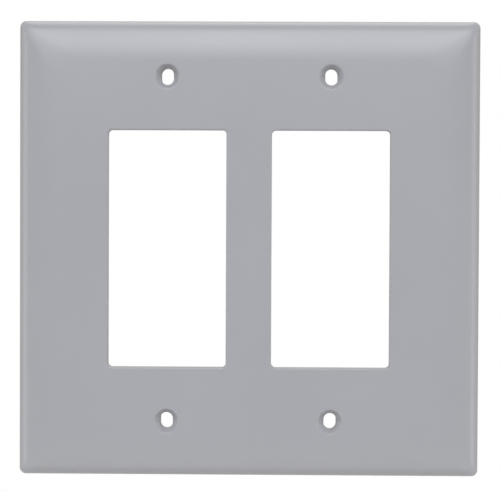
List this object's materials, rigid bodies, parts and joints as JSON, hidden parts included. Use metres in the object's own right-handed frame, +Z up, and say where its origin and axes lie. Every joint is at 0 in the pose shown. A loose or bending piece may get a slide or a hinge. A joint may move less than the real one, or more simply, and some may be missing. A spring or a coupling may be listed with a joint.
{
  "type": "rocker switch wall plate",
  "caption": "Grey moulded cover plate for rocker switches in a wall box, with rectangular openings, slotted countersunk screw holes and a rounded sloping edge; ribbed hollow back.",
  "frame": {"origin": "centre of the back rim, in the plane that rests on the wall", "axes": "plate upright as mounted: +X across the gangs, to the right as seen from the room; +Y into the wall; +Z up"},
  "size_m": [0.1302, 0.0065, 0.1286],
  "materials": {
    "plate": "satin, smooth moulded"
  },
  "bodies": {
    "root": {"wall_plate": "plate"}
  },
  "joints": []
}
